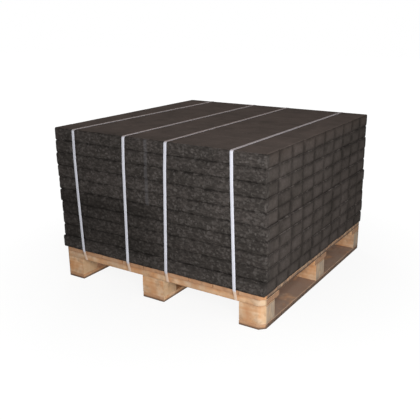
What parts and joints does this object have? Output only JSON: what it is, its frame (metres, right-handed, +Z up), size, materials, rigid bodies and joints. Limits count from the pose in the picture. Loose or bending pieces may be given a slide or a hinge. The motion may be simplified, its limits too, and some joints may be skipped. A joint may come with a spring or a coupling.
{
  "type": "strapped pallet of concrete blocks",
  "caption": "Square timber pallet loaded with ten courses of metre-long, split-face charcoal concrete blocks, held down by four plastic straps.",
  "frame": {"origin": "on the floor, under the middle of the pallet's underside", "axes": "+Z up; +X along the blocks, towards the block ends that face right; -Y towards the split long faces at the front, where forks enter along Y"},
  "size_m": [1.0129, 1.0156, 0.6634],
  "materials": {
    "concrete": "matt, split and cast concrete, charcoal",
    "timber": "rough sawn, untreated",
    "strap": "satin, rolled plastic strapping"
  },
  "bodies": {
    "root": {"course_01": "concrete", "course_02": "concrete", "course_03": "concrete", "course_04": "concrete", "course_05": "concrete", "course_06": "concrete", "course_07": "concrete", "course_08": "concrete", "course_09": "concrete", "course_10": "concrete", "strap_1": "strap", "strap_2": "strap", "strap_3": "strap", "strap_4": "strap", "runner_left": "timber", "runner_middle": "timber", "runner_right": "timber", "foot_left_front": "timber", "foot_left_middle": "timber", "foot_left_back": "timber", "foot_middle_front": "timber", "foot_middle_middle": "timber", "foot_middle_back": "timber", "foot_right_front": "timber", "foot_right_middle": "timber", "foot_right_back": "timber", "stringer_front": "timber", "stringer_middle": "timber", "stringer_back": "timber", "deck_board_1": "timber", "deck_board_2": "timber", "deck_board_3": "timber", "deck_board_4": "timber", "deck_board_5": "timber", "deck_board_6": "timber", "deck_board_7": "timber", "deck_board_8": "timber", "deck_board_9": "timber"}
  },
  "joints": []
}
